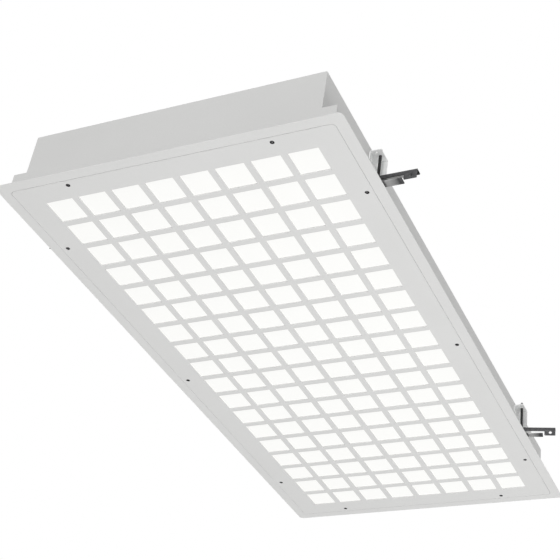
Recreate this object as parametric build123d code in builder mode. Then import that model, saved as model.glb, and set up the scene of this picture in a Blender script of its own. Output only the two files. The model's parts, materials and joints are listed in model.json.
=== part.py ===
"""Recessed troffer light, 595 x 1195 mm: a flanged housing with a perforated face panel over an opal
diffuser, LED boards inside, and four screw-driven swing clamps that grip the ceiling board.

Millimetres. The origin is the centre of the face plane, which is the lowest plane; +Z points up into
the ceiling, +Y runs along the light and +X across it.
"""

import math
import os

from build123d import *

# ---------------------------------------------------------------- driving dimensions
flange_width = 595.0
flange_length = 1195.0
flange_sheet = 1.5
flange_radius = 8.0  # plan corner of the flange
flange_edge_round = 0.5  # painted lower edge

side_ledge = 17.5  # flange past the rim wall, on the long sides
end_ledge = 17.0  # flange past the end plate
shelf_width = 24.0  # from the rim wall in to the upper side wall
rim_top = 35.0  # upper face of the shelf
body_top = 109.0
housing_sheet = 1.2
bend_radius = 2.0  # outside of the folds along the housing's top
rim_edge_round = 0.6  # dressed weld along the outer edge of a shelf
upstand_height = 8.0  # part of the rim that belongs to the trim frame

panel_sheet = 2.0
panel_radius = 8.0
panel_gap = 0.5  # seam between face panel and trim frame
aperture_pitch = 60.5
aperture_size = 49.5
aperture_border = 38.0  # least plain border round the apertures

panel_screw_inset = 10.9  # screw axis to the panel's edge
side_screw_setback = 152.8  # outer screws of a long side, from the panel's end
end_screw_setback = 102.3  # screws of a short side, from the panel's side
panel_screw_radius = 1.95  # M4 thread
panel_screw_length = 12.0
panel_screw_head_radius = 3.6
panel_screw_socket = 2.5  # across flats
panel_screw_socket_depth = 1.4
panel_hole_clearance = 0.15

gasket_height = 3.0
gasket_inset = 1.3  # from the panel's edge
gasket_inner_radius = 2.4
gasket_clearance = 0.4  # to the flanges of the rivet nuts

rail_sheet = 1.5
rail_bend = 0.75  # inside of the fold
rail_width = 18.0
rail_height = 21.0
rail_end_gap = 3.0  # short of the round corners of the frame
driver_hole_radius = 5.5  # lets a screwdriver reach a clamp screw

rivet_nut_radius = 3.0
rivet_nut_flange_radius = 4.4
rivet_nut_flange = 0.8
rivet_nut_length = 11.0
thread_clearance = 0.05  # radial, between a screw and its nut
hole_clearance = 0.05  # radial, round a rivet, stud or plug in its hole

diffuser_sheet = 2.5
diffuser_overlap = 10.5  # beyond the outer apertures
clip_sheet = 1.2
clip_width = 12.0
clip_reach = 6.0  # tongue over the diffuser
clip_foot = 9.0
clip_gap = 0.3  # between clip and diffuser edge
clip_stud_radius = 1.5
clip_stud_height = 6.5
clip_nut_flats = 5.5
clip_nut_height = 2.4
side_clip_count = 5
side_clip_setback = 65.5  # outer clips of a long side, from the diffuser's end
end_clip_count = 2
end_clip_setback = 126.0  # clips of a short side, from the diffuser's side

tray_side_gap = 26.0  # from the outside of the housing to the middle of the tray's wall
tray_end_gap = 15.5  # from the outside of the end plate
tray_depth = 35.0  # from the housing's top down to the underside, where the LED boards sit
tray_sheet = 1.0
tray_lip = 12.0
tray_bend_radius = 1.6
tray_rivet_radius = 2.0
tray_rivet_head_radius = 4.0
tray_rivet_head = 1.2
tray_rivet_head_round = 0.6
tray_rivet_setback = 85.0  # from the tray's end
tray_rivets_per_side = 4

board_width = 24.0
board_end_gap = 21.0  # from the tray's end
board_sheet = 1.6
board_column_spacing = 118.0
board_columns = 4
board_gap = 8.0  # between the two boards of a column
led_width = 3.0
led_height = 0.8
led_spacing = 43.0
led_margin = 10.0  # least distance from a board's end to half a spacing past its last LED
board_rivet_radius = 1.5
board_rivet_head_radius = 3.0
board_rivet_head = 1.0

driver_length = 280.0
driver_width = 30.0
driver_height = 21.0
driver_case_chamfer = 2.0
driver_ear = 12.0
driver_ear_sheet = 1.5
driver_spacing = 400.0  # between the middles of the two drivers
driver_to_terminal = 220.0  # from the rear driver's middle to the terminal block's
driver_screw_radius = 1.75
driver_screw_head_radius = 3.4
driver_screw_head = 1.8
driver_screw_length = 6.0

terminal_length = 52.0
terminal_width = 24.0
terminal_height = 17.0
terminal_edge_round = 1.5
terminal_poles = 5
terminal_pitch = 9.0
terminal_hole_radius = 2.2
terminal_hole_depth = 9.0
terminal_hole_height = 5.7  # above the tray
terminal_setback = 160.5  # from the outside of the rear end plate
earth_stud_radius = 2.0
earth_stud_height = 14.0
earth_stud_offset = 45.0  # from the terminal block, across the light
earth_nut_flats = 7.0
earth_nut_height = 3.2

entry_radius = 10.25  # knock-out for a 20 mm cable fitting
entry_setback = 100.5  # from the outside of the rear end plate
entry_spacing = 80.0
cable_bore_radius = 5.0
grommet_flange_radius = 13.0
grommet_flange = 2.0
plug_wall = 1.5
plug_depth = 5.0

clamp_setback = 185.5  # screw axis from the outside of the end plate
clamp_reach = 12.0  # screw axis out from the housing's side wall
bracket_sheet = 1.5
bracket_width = 30.0
bracket_depth = 19.0
bracket_height = 65.0  # above the shelf
bracket_bend = 2.5
bracket_sight_hole_radius = 1.6
bracket_sight_hole_place = (-2.6, -9.5)
bracket_rivet_radius = 2.0
bracket_rivet_head_radius = 3.6
bracket_rivet_head = 1.1
wall_rivet_height = 50.0  # above the shelf
wall_rivet_spacing = 14.0

clamp_screw_radius = 2.5  # M5
clamp_screw_running = 0.1  # radial, in the shelf and in the bracket
clamp_screw_end = 11.6  # above the bracket
clamp_screw_end_chamfer = 0.5
clamp_screw_head_radius = 4.75
clamp_screw_head = 3.4
clamp_screw_head_round = 1.1
clamp_screw_socket = 4.0
clamp_screw_socket_depth = 2.2
clamp_screw_end_float = 0.1
stop_nut_flats = 8.0
stop_nut_height = 4.0

arm_sheet = 1.2
arm_length = 66.3  # from the screw axis to the tip
arm_near_side = 6.4
arm_far_side = 7.9
arm_height = 13.7  # outside of the lower leg to outside of the upper leg
arm_above_foot = 2.8
arm_back = 8.0  # from the screw axis back to the fold
arm_back_half_width = 4.5
arm_back_shoulder = 4.8
lower_leg_length = 42.0
side_lip_height = 8.0
flag_length = 21.3
flag_clearance = 0.3  # between the flag and the shelf when the arm is swung in
flag_hole_radius = 3.0
flag_hole_from_tip = 9.9
flag_hole_above_edge = 6.3
clamp_nut_hub_radius = 3.6
clamp_nut_barrel_radius = 4.7
clamp_nut_end_float = 0.1
clamp_nut_hub_stand = 0.3
arm_running = 0.05  # radial, between the arm's holes and the nut's hubs

# Turn of each arm about its screw as photographed; 0 points along +X.
arm_turns = {
    "right_front": 0.0,
    "right_rear": 13.0,
    "left_front": 185.5,
    "left_rear": 172.5,
}

# ---------------------------------------------------------------- levels and places that follow
rim_width = flange_width - 2 * side_ledge  # outside of the rim walls
rim_length = flange_length - 2 * end_ledge  # outside of the end plates
body_width = rim_width - 2 * shelf_width  # outside of the side walls above the shelf
throat_width = rim_width - 2 * housing_sheet
throat_length = rim_length - 2 * housing_sheet
panel_width = throat_width - 2 * panel_gap
panel_length = throat_length - 2 * panel_gap
aperture_bar = aperture_pitch - aperture_size
aperture_columns = int((panel_width - 2 * aperture_border + aperture_bar) / aperture_pitch)
aperture_rows = int((panel_length - 2 * aperture_border + aperture_bar) / aperture_pitch)
screw_line_x = panel_width / 2 - panel_screw_inset
screw_line_y = panel_length / 2 - panel_screw_inset
gasket_width = panel_screw_inset - rivet_nut_flange_radius - gasket_clearance - gasket_inset
rail_underside = panel_sheet + gasket_height
rail_top = rail_underside + rail_sheet
rail_inner_x = throat_width / 2 - rail_width
shelf_underside = rim_top - housing_sheet
ceiling = body_top - housing_sheet  # underside of the housing's top
tray_width = body_width - 2 * tray_side_gap
tray_length = rim_length - 2 * tray_end_gap
tray_floor = body_top - tray_depth
tray_top = tray_floor + tray_sheet
board_length = (tray_length - board_gap) / 2 - board_end_gap
leds_per_board = int((board_length - 2 * led_margin) / led_spacing)
terminal_place = rim_length / 2 - terminal_setback
driver_places = {
    "front": terminal_place - driver_to_terminal - driver_spacing,
    "rear": terminal_place - driver_to_terminal,
}
entry_place = rim_length / 2 - entry_setback
clamp_place = rim_length / 2 - clamp_setback
clamp_axis_x = body_width / 2 + clamp_reach
bracket_top = rim_top + bracket_height
foot_top = rim_top + bracket_sheet
wall_rivet_level = rim_top + wall_rivet_height
arm_low = foot_top + arm_above_foot
arm_top = arm_low + arm_height
flag_height = arm_top - rim_top - flag_clearance


def spread(count, span):
    """Places of so many points, evenly spread over a span about 0."""
    return [(i / (count - 1) - 0.5) * span for i in range(count)]


side_screw_rows = spread(3, panel_length - 2 * side_screw_setback)
end_screw_columns = spread(2, panel_width - 2 * end_screw_setback)
panel_screw_places = [(side * screw_line_x, y) for side in (-1, 1) for y in side_screw_rows]
panel_screw_places += [(x, end * screw_line_y) for end in (-1, 1) for x in end_screw_columns]

clamp_places = {
    "right_front": (clamp_axis_x, -clamp_place, 0.0),
    "right_rear": (clamp_axis_x, clamp_place, 0.0),
    "left_front": (-clamp_axis_x, -clamp_place, 180.0),
    "left_rear": (-clamp_axis_x, clamp_place, 180.0),
}

standing = (Align.CENTER, Align.CENTER, Align.MIN)
hanging = (Align.CENTER, Align.CENTER, Align.MAX)

os.makedirs("parts", exist_ok=True)


def save(piece, name):
    """Label a finished piece and write it under its node's name."""
    piece.part.label = name
    export_step(piece.part, f"parts/{name}.step")


def hexagon_radius(flats):
    """Corner radius of a hexagon of the given size across flats."""
    return flats / math.sqrt(3)


# ---------------------------------------------------------------- trim frame and housing
with BuildPart() as trim_frame:
    with BuildSketch():
        RectangleRounded(flange_width, flange_length, flange_radius)
        RectangleRounded(throat_width, throat_length, panel_radius, mode=Mode.SUBTRACT)
    extrude(amount=flange_sheet)
    lower_rim = trim_frame.faces().sort_by(Axis.Z)[0].outer_wire()
    fillet(lower_rim.edges(), flange_edge_round)
    with BuildSketch():
        RectangleRounded(rim_width, rim_length, panel_radius + housing_sheet)
        RectangleRounded(throat_width, throat_length, panel_radius, mode=Mode.SUBTRACT)
    extrude(amount=upstand_height)
save(trim_frame, "trim_frame")


end_place = rim_length / 2 - housing_sheet  # inner face of each end plate
wall_face = body_width / 2  # outside of the side walls
wall_inside = wall_face - housing_sheet
rim_face = rim_width / 2
tray_rivet_rows = spread(tray_rivets_per_side, tray_length - 2 * tray_rivet_setback)
tray_rivet_x = tray_width / 2 + tray_lip / 2
tray_rivet_places = [(side * tray_rivet_x, y) for side in (-1, 1) for y in tray_rivet_rows]
clamp_axes = [(x, y) for x, y, _ in clamp_places.values()]

# Top and upper side walls, folded from one sheet. The walls stand on the shelves.
with BuildPart() as housing_body:
    with BuildSketch(Plane.XZ):
        with BuildLine():
            FilletPolyline(
                (-wall_face, rim_top),
                (-wall_face, body_top),
                (wall_face, body_top),
                (wall_face, rim_top),
                radius=bend_radius,
            )
            Line((wall_face, rim_top), (wall_inside, rim_top))
            FilletPolyline(
                (wall_inside, rim_top),
                (wall_inside, ceiling),
                (-wall_inside, ceiling),
                (-wall_inside, rim_top),
                radius=bend_radius - housing_sheet,
            )
            Line((-wall_inside, rim_top), (-wall_face, rim_top))
        make_face()
    extrude(amount=end_place, both=True)
    with BuildSketch(Plane.XY.offset(ceiling)):
        with Locations((0, entry_place), (entry_spacing, entry_place)):
            Circle(entry_radius)
        with Locations(*tray_rivet_places):
            Circle(tray_rivet_radius + hole_clearance)
    extrude(amount=housing_sheet, mode=Mode.SUBTRACT)
    for side in (-1, 1):
        with BuildSketch(Plane.YZ.offset(side * body_width / 2)):
            with Locations((-clamp_place, wall_rivet_level), (clamp_place, wall_rivet_level)):
                with GridLocations(wall_rivet_spacing, 0, 2, 1):
                    Circle(bracket_rivet_radius + hole_clearance)
        extrude(amount=-side * housing_sheet, mode=Mode.SUBTRACT)
save(housing_body, "housing_body")

# Shelves and rim walls: strips welded along their edges. The rim walls stand on the trim frame.
for name, side in (("left", -1), ("right", 1)):
    with BuildPart() as shelf:
        with Locations((side * (wall_inside + rim_face) / 2, 0, shelf_underside)):
            Box(rim_face - wall_inside, 2 * end_place, housing_sheet, align=standing)
        long_edges = shelf.edges().filter_by(Axis.Y)
        fillet(long_edges.sort_by_distance((side * rim_face, 0, rim_top))[0], rim_edge_round)
        with BuildSketch(Plane.XY.offset(shelf_underside)):
            with Locations(*clamp_axes):
                Circle(clamp_screw_radius + clamp_screw_running)
        extrude(amount=housing_sheet, mode=Mode.SUBTRACT)
    save(shelf, f"shelf_{name}")
    with BuildPart() as rim_wall:
        with Locations((side * (rim_face - housing_sheet / 2), 0, upstand_height)):
            wall_height = shelf_underside - upstand_height
            Box(housing_sheet, 2 * end_place, wall_height, align=standing)
    save(rim_wall, f"rim_wall_{name}")

end_outline = [
    (rim_face, upstand_height),
    (rim_face, rim_top),
    (wall_face, rim_top),
    (wall_face, body_top),
    (-wall_face, body_top),
    (-wall_face, rim_top),
    (-rim_face, rim_top),
    (-rim_face, upstand_height),
]
for end, side in (("front", -1), ("rear", 1)):
    with BuildPart() as end_plate:
        with BuildSketch(Plane.XZ.offset(-side * end_place)) as blank:
            with BuildLine():
                Polyline(*end_outline, close=True)
            make_face()
            rim_corners = blank.vertices().group_by(Axis.Y)[1].sort_by(Axis.X)
            fillet([rim_corners[0], rim_corners[-1]], rim_edge_round)
            fillet(blank.vertices().group_by(Axis.Y)[-1], bend_radius)
        extrude(amount=-side * housing_sheet)
    save(end_plate, f"end_plate_{end}")

# ---------------------------------------------------------------- face panel, its screws and its seal
with BuildPart() as face_panel:
    with BuildSketch():
        RectangleRounded(panel_width, panel_length, panel_radius - panel_gap)
        with GridLocations(aperture_pitch, aperture_pitch, aperture_columns, aperture_rows):
            Rectangle(aperture_size, aperture_size, mode=Mode.SUBTRACT)
    extrude(amount=panel_sheet)
    with Locations(Plane(origin=(0, 0, 0), z_dir=(0, 0, -1))):
        with Locations(*panel_screw_places):
            CounterSinkHole(
                panel_screw_radius + panel_hole_clearance,
                panel_screw_head_radius + panel_hole_clearance,
                counter_sink_angle=90,
            )
save(face_panel, "face_panel")

with BuildPart() as panel_screw:
    with BuildSketch(Plane.XZ):
        with BuildLine():
            Polyline(
                (0, 0),
                (panel_screw_head_radius, 0),
                (panel_screw_radius, panel_screw_head_radius - panel_screw_radius),
                (panel_screw_radius, panel_screw_length),
                (0, panel_screw_length),
                close=True,
            )
        make_face()
    revolve(axis=Axis.Z)
    with BuildSketch():
        RegularPolygon(hexagon_radius(panel_screw_socket), 6)
    extrude(amount=panel_screw_socket_depth, mode=Mode.SUBTRACT)

with BuildPart() as panel_screws:
    with Locations(*panel_screw_places):
        add(panel_screw.part)
save(panel_screws, "panel_screws")

with BuildPart() as panel_gasket:
    seal_radius = panel_radius - panel_gap - gasket_inset
    seal_width = panel_width - 2 * gasket_inset
    seal_length = panel_length - 2 * gasket_inset
    with BuildSketch(Plane.XY.offset(panel_sheet)):
        RectangleRounded(seal_width, seal_length, seal_radius)
        RectangleRounded(
            seal_width - 2 * gasket_width,
            seal_length - 2 * gasket_width,
            gasket_inner_radius,
            mode=Mode.SUBTRACT,
        )
    extrude(amount=gasket_height)
save(panel_gasket, "panel_gasket")

# ---------------------------------------------------------------- rails that the panel screws into
side_rail_length = throat_length - 2 * (panel_radius + rail_end_gap)
end_rail_length = 2 * rail_inner_x


def rail_angle(length):
    """An L-shaped rail along +Y: the web lies on the gasket side, the upstand on the wall at x = 0."""
    with BuildPart() as rail:
        with BuildSketch(Plane.XZ):
            with Locations((0, rail_underside)):
                Rectangle(rail_width, rail_sheet, align=(Align.MAX, Align.MIN))
                Rectangle(rail_sheet, rail_height, align=(Align.MAX, Align.MIN))
        extrude(amount=length / 2, both=True)
        inside_fold = rail.edges().filter_by(Axis.Y).sort_by_distance((-rail_sheet, 0, rail_top))[0]
        fillet(inside_fold, rail_bend)
    return rail.part


side_rail = rail_angle(side_rail_length)
end_rail = rail_angle(end_rail_length)
rails = {
    "rail_right": (side_rail, (throat_width / 2, 0), 0),
    "rail_left": (side_rail, (-throat_width / 2, 0), 180),
    "rail_rear": (end_rail, (0, throat_length / 2), 90),
    "rail_front": (end_rail, (0, -throat_length / 2), 270),
}
for name, (blank, place, turn) in rails.items():
    with BuildPart() as rail:
        with Locations(Location((*place, 0), (0, 0, turn))):
            add(blank)
        with BuildSketch(Plane.XY.offset(rail_underside)):
            with Locations(*panel_screw_places):
                Circle(rivet_nut_radius + hole_clearance)
            with Locations(*clamp_axes):
                Circle(driver_hole_radius)
        extrude(amount=rail_sheet, mode=Mode.SUBTRACT)
    save(rail, name)

with BuildPart() as rivet_nuts:
    rivet_nut_height = rivet_nut_flange + rivet_nut_length
    tapped_radius = panel_screw_radius + thread_clearance
    with Locations(*[(x, y, rail_underside - rivet_nut_flange) for x, y in panel_screw_places]):
        Cylinder(rivet_nut_flange_radius, rivet_nut_flange, align=standing)
        Cylinder(rivet_nut_radius, rivet_nut_height, align=standing)
        Cylinder(tapped_radius, rivet_nut_height, align=standing, mode=Mode.SUBTRACT)
save(rivet_nuts, "rivet_nuts")

# ---------------------------------------------------------------- diffuser and its clips
apertures_width = (aperture_columns - 1) * aperture_pitch + aperture_size
apertures_length = (aperture_rows - 1) * aperture_pitch + aperture_size
diffuser_width = apertures_width + 2 * diffuser_overlap
diffuser_length = apertures_length + 2 * diffuser_overlap
with BuildPart() as opal_diffuser:
    with BuildSketch(Plane.XY.offset(panel_sheet)):
        Rectangle(diffuser_width, diffuser_length)
    extrude(amount=diffuser_sheet)
save(opal_diffuser, "opal_diffuser")

clip_rows = spread(side_clip_count, diffuser_length - 2 * side_clip_setback)
clip_columns = spread(end_clip_count, diffuser_width - 2 * end_clip_setback)
clip_spots = (
    [Location((diffuser_width / 2, y, panel_sheet), (0, 0, 0)) for y in clip_rows]
    + [Location((-diffuser_width / 2, y, panel_sheet), (0, 0, 180)) for y in clip_rows]
    + [Location((x, diffuser_length / 2, panel_sheet), (0, 0, 90)) for x in clip_columns]
    + [Location((x, -diffuser_length / 2, panel_sheet), (0, 0, 270)) for x in clip_columns]
)
stud_x = clip_gap + clip_sheet + (clip_foot - clip_sheet) / 2

# Local frame of a clip: the diffuser's edge is at x = 0 and the panel's upper face at z = 0.
with BuildPart() as clip:
    with BuildSketch(Plane.XZ):
        with Locations((clip_gap, 0)):
            Rectangle(clip_foot, clip_sheet, align=(Align.MIN, Align.MIN))
            Rectangle(clip_sheet, diffuser_sheet + clip_sheet, align=(Align.MIN, Align.MIN))
        with Locations((-clip_reach, diffuser_sheet)):
            Rectangle(clip_reach + clip_gap + clip_sheet, clip_sheet, align=(Align.MIN, Align.MIN))
    extrude(amount=clip_width / 2, both=True)
    with BuildSketch():
        with Locations((stud_x, 0)):
            Circle(clip_stud_radius + hole_clearance)
    extrude(amount=clip_sheet, mode=Mode.SUBTRACT)

with BuildPart() as clip_stud:
    with Locations((stud_x, 0, 0)):
        Cylinder(clip_stud_radius, clip_stud_height, align=standing)

with BuildPart() as clip_nut:
    with BuildSketch(Plane.XY.offset(clip_sheet)):
        with Locations((stud_x, 0)):
            RegularPolygon(hexagon_radius(clip_nut_flats), 6)
            Circle(clip_stud_radius + thread_clearance, mode=Mode.SUBTRACT)
    extrude(amount=clip_nut_height)

for name, piece in (("diffuser_clips", clip), ("clip_studs", clip_stud), ("clip_nuts", clip_nut)):
    with BuildPart() as group:
        with Locations(*clip_spots):
            add(piece.part)
    save(group, name)

# ---------------------------------------------------------------- gear tray, LED boards and drivers
board_rows = (board_length + board_gap) / 2
board_rivet_spacing = (leds_per_board - 2) * led_spacing  # halfway between the last two LEDs
board_places = [
    ((column - (board_columns - 1) / 2) * board_column_spacing, end * board_rows)
    for end in (-1, 1)
    for column in range(board_columns)
]
board_rivet_places = [
    (x, y + step * board_rivet_spacing / 2) for x, y in board_places for step in (-1, 1)
]
driver_screw_step = driver_length / 2 + driver_ear / 2
driver_screw_places = [
    (0, y + step * driver_screw_step) for y in driver_places.values() for step in (-1, 1)
]
earth_place = (earth_stud_offset, terminal_place)

with BuildPart() as gear_tray:
    tray_half = tray_width / 2
    with BuildSketch(Plane.XZ):
        with BuildLine() as tray_line:
            FilletPolyline(
                (-tray_half - tray_lip, ceiling - tray_sheet / 2),
                (-tray_half, ceiling - tray_sheet / 2),
                (-tray_half, tray_floor + tray_sheet / 2),
                (tray_half, tray_floor + tray_sheet / 2),
                (tray_half, ceiling - tray_sheet / 2),
                (tray_half + tray_lip, ceiling - tray_sheet / 2),
                radius=tray_bend_radius,
            )
            offset(amount=tray_sheet / 2, side=Side.BOTH)
        make_face()
    extrude(amount=tray_length / 2, both=True)
    with BuildSketch(Plane.XY.offset(ceiling - tray_sheet)):
        with Locations(*tray_rivet_places):
            Circle(tray_rivet_radius + hole_clearance)
    extrude(amount=tray_sheet, mode=Mode.SUBTRACT)
    with BuildSketch(Plane.XY.offset(tray_floor)):
        with Locations(*board_rivet_places):
            Circle(board_rivet_radius + hole_clearance)
        with Locations(*driver_screw_places):
            Circle(driver_screw_radius + hole_clearance)
        with Locations(earth_place):
            Circle(earth_stud_radius + hole_clearance)
    extrude(amount=tray_sheet, mode=Mode.SUBTRACT)
save(gear_tray, "gear_tray")

with BuildPart() as tray_rivets:
    with Locations(*[(x, y, body_top) for x, y in tray_rivet_places]):
        Cylinder(tray_rivet_head_radius, tray_rivet_head, align=standing)
        Cylinder(tray_rivet_radius, housing_sheet + 2 * tray_sheet, align=hanging)
    head_tops = tray_rivets.faces().filter_by(Axis.Z).group_by(Axis.Z)[-1]
    fillet(head_tops.edges(), tray_rivet_head_round)

for number, (x, y) in enumerate(board_places, start=1):
    with BuildPart() as led_board:
        with BuildSketch(Plane.XY.offset(tray_floor - board_sheet)):
            with Locations((x, y)):
                Rectangle(board_width, board_length)
                with GridLocations(0, board_rivet_spacing, 1, 2):
                    Circle(board_rivet_radius + hole_clearance, mode=Mode.SUBTRACT)
        extrude(amount=board_sheet)
    save(led_board, f"led_board_{number}")

with BuildPart() as led_packages:
    with BuildSketch(Plane.XY.offset(tray_floor - board_sheet)):
        with Locations(*board_places):
            with GridLocations(0, led_spacing, 1, leds_per_board):
                Rectangle(led_width, led_width)
    extrude(amount=-led_height)
save(led_packages, "led_packages")

with BuildPart() as board_rivets:
    head_base = tray_floor - board_sheet - board_rivet_head
    board_rivet_length = board_rivet_head + board_sheet + 2 * tray_sheet
    with Locations(*[(x, y, head_base) for x, y in board_rivet_places]):
        Cylinder(board_rivet_head_radius, board_rivet_head, align=standing)
        Cylinder(board_rivet_radius, board_rivet_length, align=standing)
save(board_rivets, "board_rivets")

for end, place in driver_places.items():
    with BuildPart() as led_driver:
        with Locations((0, place, tray_top)):
            Box(driver_width, driver_length, driver_height, align=standing)
            chamfer(led_driver.faces().sort_by(Axis.Z)[-1].edges(), driver_case_chamfer)
            Box(driver_width, driver_length + 2 * driver_ear, driver_ear_sheet, align=standing)
        with BuildSketch(Plane.XY.offset(tray_top)):
            with Locations((0, place - driver_screw_step), (0, place + driver_screw_step)):
                Circle(driver_screw_radius + hole_clearance)
        extrude(amount=driver_ear_sheet, mode=Mode.SUBTRACT)
    save(led_driver, f"led_driver_{end}")

with BuildPart() as driver_screws:
    with Locations(*[(x, y, tray_top + driver_ear_sheet) for x, y in driver_screw_places]):
        Cylinder(driver_screw_head_radius, driver_screw_head, align=standing)
        Cylinder(driver_screw_radius, driver_screw_length, align=hanging)
save(driver_screws, "driver_screws")

with BuildPart() as terminal_block:
    with Locations((0, terminal_place, tray_top)):
        Box(terminal_length, terminal_width, terminal_height, align=standing)
    upper_edges = terminal_block.edges().filter_by(Axis.X).group_by(Axis.Z)[-1]
    fillet(upper_edges, terminal_edge_round)
    for side in (-1, 1):
        wire_side = Plane.XZ.offset(-(terminal_place + side * terminal_width / 2))
        with BuildSketch(wire_side):
            with Locations((0, tray_top + terminal_hole_height)):
                with GridLocations(terminal_pitch, 0, terminal_poles, 1):
                    Circle(terminal_hole_radius)
        extrude(amount=side * terminal_hole_depth, mode=Mode.SUBTRACT)
save(terminal_block, "terminal_block")

with BuildPart() as earth_stud:
    with Locations((*earth_place, tray_floor)):
        Cylinder(earth_stud_radius, earth_stud_height, align=standing)
save(earth_stud, "earth_stud")

with BuildPart() as earth_nut:
    with BuildSketch(Plane.XY.offset(tray_top)):
        with Locations(earth_place):
            RegularPolygon(hexagon_radius(earth_nut_flats), 6)
            Circle(earth_stud_radius + thread_clearance, mode=Mode.SUBTRACT)
    extrude(amount=earth_nut_height)
save(earth_nut, "earth_nut")

# ---------------------------------------------------------------- cable entries in the top
collar_radius = entry_radius - hole_clearance
with BuildPart() as cable_grommet:
    with BuildSketch(Plane.XZ.offset(-entry_place)):
        with BuildLine():
            Polyline(
                (cable_bore_radius, ceiling - grommet_flange),
                (grommet_flange_radius, ceiling - grommet_flange),
                (grommet_flange_radius, ceiling),
                (collar_radius, ceiling),
                (collar_radius, body_top),
                (grommet_flange_radius, body_top),
                (grommet_flange_radius, body_top + grommet_flange),
                (cable_bore_radius, body_top + grommet_flange),
                close=True,
            )
        make_face()
    revolve(axis=Axis((0, entry_place, 0), (0, 0, 1)))
save(cable_grommet, "cable_grommet")

with BuildPart() as blanking_plug:
    collar_length = housing_sheet + plug_depth
    with Locations((entry_spacing, entry_place, body_top)):
        Cylinder(grommet_flange_radius, grommet_flange, align=standing)
        Cylinder(collar_radius, collar_length, align=hanging)
        Cylinder(collar_radius - plug_wall, collar_length, align=hanging, mode=Mode.SUBTRACT)
save(blanking_plug, "blanking_plug")

# ---------------------------------------------------------------- ceiling clamps
# Local frame of a clamp: the screw axis is x = y = 0, and the housing's wall is at x = -clamp_reach.
wall_x = -clamp_reach
edge_x = wall_x + bracket_depth
bridge_underside = bracket_top - bracket_sheet
wall_rivet_steps = spread(2, wall_rivet_spacing)
wall_rivet_spots = [(y, wall_rivet_level) for y in wall_rivet_steps]

with BuildPart() as bracket:
    # C-shaped strap: foot on the shelf, leg up the wall and bridge over the screw.
    with BuildSketch(Plane.XZ):
        with BuildLine():
            FilletPolyline(
                (edge_x, rim_top),
                (wall_x, rim_top),
                (wall_x, bracket_top),
                (edge_x, bracket_top),
                radius=bracket_bend,
            )
            Line((edge_x, bracket_top), (edge_x, bridge_underside))
            FilletPolyline(
                (edge_x, bridge_underside),
                (wall_x + bracket_sheet, bridge_underside),
                (wall_x + bracket_sheet, foot_top),
                (edge_x, foot_top),
                radius=bracket_bend - bracket_sheet,
            )
            Line((edge_x, foot_top), (edge_x, rim_top))
        make_face()
    extrude(amount=bracket_width / 2, both=True)
    # Web that closes the side away from the stowed arm.
    with BuildSketch(Plane.XZ.offset(-bracket_width / 2)):
        with BuildLine():
            Polyline(
                (wall_x + bracket_bend, rim_top),
                (edge_x, rim_top),
                (edge_x, bracket_top),
                (wall_x + bracket_bend, bracket_top),
                (wall_x, bracket_top - bracket_bend),
                (wall_x, rim_top + bracket_bend),
                close=True,
            )
        make_face()
    extrude(amount=bracket_sheet)
    with BuildSketch(Plane.XY.offset(rim_top)):
        Circle(clamp_screw_radius + clamp_screw_running)
        with Locations(bracket_sight_hole_place):
            Circle(bracket_sight_hole_radius)
    extrude(amount=bracket_height, mode=Mode.SUBTRACT)
    with BuildSketch(Plane.YZ.offset(wall_x)):
        with Locations(*wall_rivet_spots):
            Circle(bracket_rivet_radius + hole_clearance)
    extrude(amount=bracket_sheet, mode=Mode.SUBTRACT)

inner_head_x = wall_x - housing_sheet - bracket_rivet_head
outer_head_x = wall_x + bracket_sheet
with BuildPart() as bracket_rivet:
    with BuildSketch(Plane.YZ.offset(inner_head_x)):
        with Locations(*wall_rivet_spots):
            Circle(bracket_rivet_radius)
    extrude(amount=outer_head_x + bracket_rivet_head - inner_head_x)
    for head_x in (inner_head_x, outer_head_x):
        with BuildSketch(Plane.YZ.offset(head_x)):
            with Locations(*wall_rivet_spots):
                Circle(bracket_rivet_head_radius)
        extrude(amount=bracket_rivet_head)

with BuildPart() as blind_rivets:
    add(tray_rivets.part)
    with Locations(*[Location((x, y, 0), (0, 0, turn)) for x, y, turn in clamp_places.values()]):
        add(bracket_rivet.part)
save(blind_rivets, "blind_rivets")

head_top = shelf_underside - clamp_screw_end_float
with BuildPart() as screw:
    with Locations((0, 0, head_top)):
        Cylinder(clamp_screw_head_radius, clamp_screw_head, align=hanging)
        fillet(screw.faces().sort_by(Axis.Z)[0].edges(), clamp_screw_head_round)
        Cylinder(clamp_screw_radius, bracket_top + clamp_screw_end - head_top, align=standing)
        chamfer(screw.faces().sort_by(Axis.Z)[-1].edges(), clamp_screw_end_chamfer)
    with BuildSketch(Plane.XY.offset(head_top - clamp_screw_head)):
        RegularPolygon(hexagon_radius(clamp_screw_socket), 6)
    extrude(amount=clamp_screw_socket_depth, mode=Mode.SUBTRACT)

with BuildPart() as stop_nut:
    with BuildSketch(Plane.XY.offset(bracket_top + clamp_screw_end_float)):
        RegularPolygon(hexagon_radius(stop_nut_flats), 6)
        Circle(clamp_screw_radius + thread_clearance, mode=Mode.SUBTRACT)
    extrude(amount=stop_nut_height)

hub_low = arm_low - clamp_nut_hub_stand
hub_high = arm_top + clamp_nut_hub_stand
barrel_low = arm_low + arm_sheet + clamp_nut_end_float
barrel_high = arm_top - arm_sheet - clamp_nut_end_float
with BuildPart() as clamp_nut:
    with BuildSketch(Plane.XY.offset(hub_low)):
        Circle(clamp_nut_hub_radius)
    extrude(amount=hub_high - hub_low)
    with BuildSketch(Plane.XY.offset(barrel_low)):
        Circle(clamp_nut_barrel_radius)
    extrude(amount=barrel_high - barrel_low)
    with BuildSketch(Plane.XY.offset(hub_low)):
        Circle(clamp_screw_radius + thread_clearance)
    extrude(amount=hub_high - hub_low, mode=Mode.SUBTRACT)


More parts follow.
